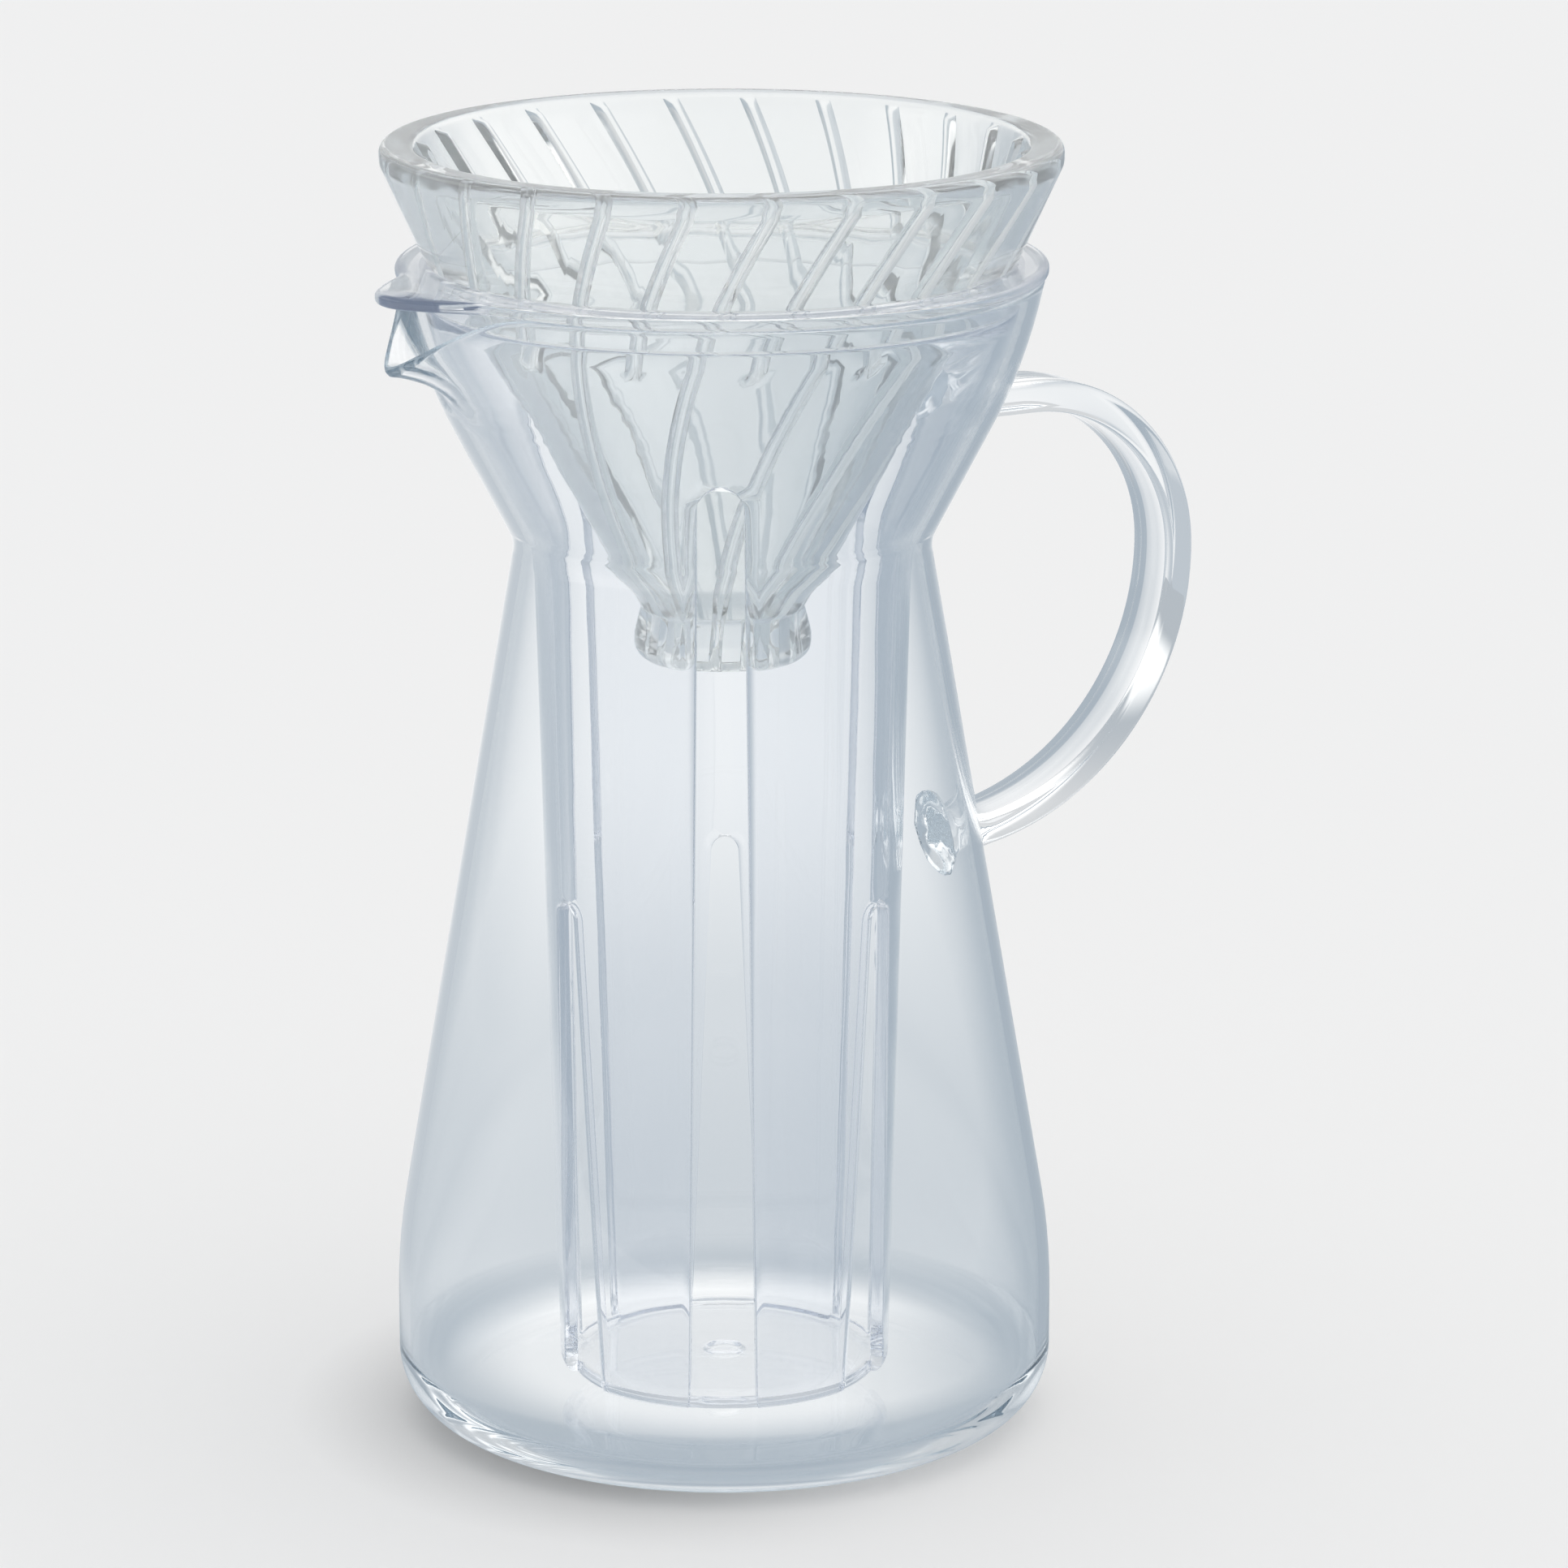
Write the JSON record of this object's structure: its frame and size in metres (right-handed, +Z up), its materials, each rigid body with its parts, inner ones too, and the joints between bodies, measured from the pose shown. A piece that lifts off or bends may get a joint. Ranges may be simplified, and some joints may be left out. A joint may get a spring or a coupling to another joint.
{
  "type": "iced coffee maker",
  "caption": "Glass jug with a strap handle and spout, a clear slotted ice strainer lying on its rim, and a ribbed glass filter cone standing on the strainer's collar.",
  "frame": {"origin": "centre of the jug's base, on the table", "axes": "+Z up along the jug's axis, +X towards the handle, -X towards the spout"},
  "size_m": [0.1605, 0.118, 0.2288],
  "materials": {
    "jug_glass": "polished, clear",
    "clear_plastic": "polished, clear",
    "dripper_glass": "pressed, clear, slightly milky"
  },
  "bodies": {
    "jug": {"jug_body": "jug_glass", "jug_handle": "jug_glass"},
    "strainer": {"strainer_collar": "clear_plastic", "strainer_basket": "clear_plastic"},
    "dripper": {"dripper": "dripper_glass"}
  },
  "joints": [
    {"name": "strainer_lift", "type": "slide", "parent": "jug", "child": "strainer", "axis": [0, 0, 1], "range_m": [0, 0.21]},
    {"name": "dripper_lift", "type": "slide", "parent": "strainer", "child": "dripper", "axis": [0, 0, 1], "range_m": [0, 0.085]}
  ]
}
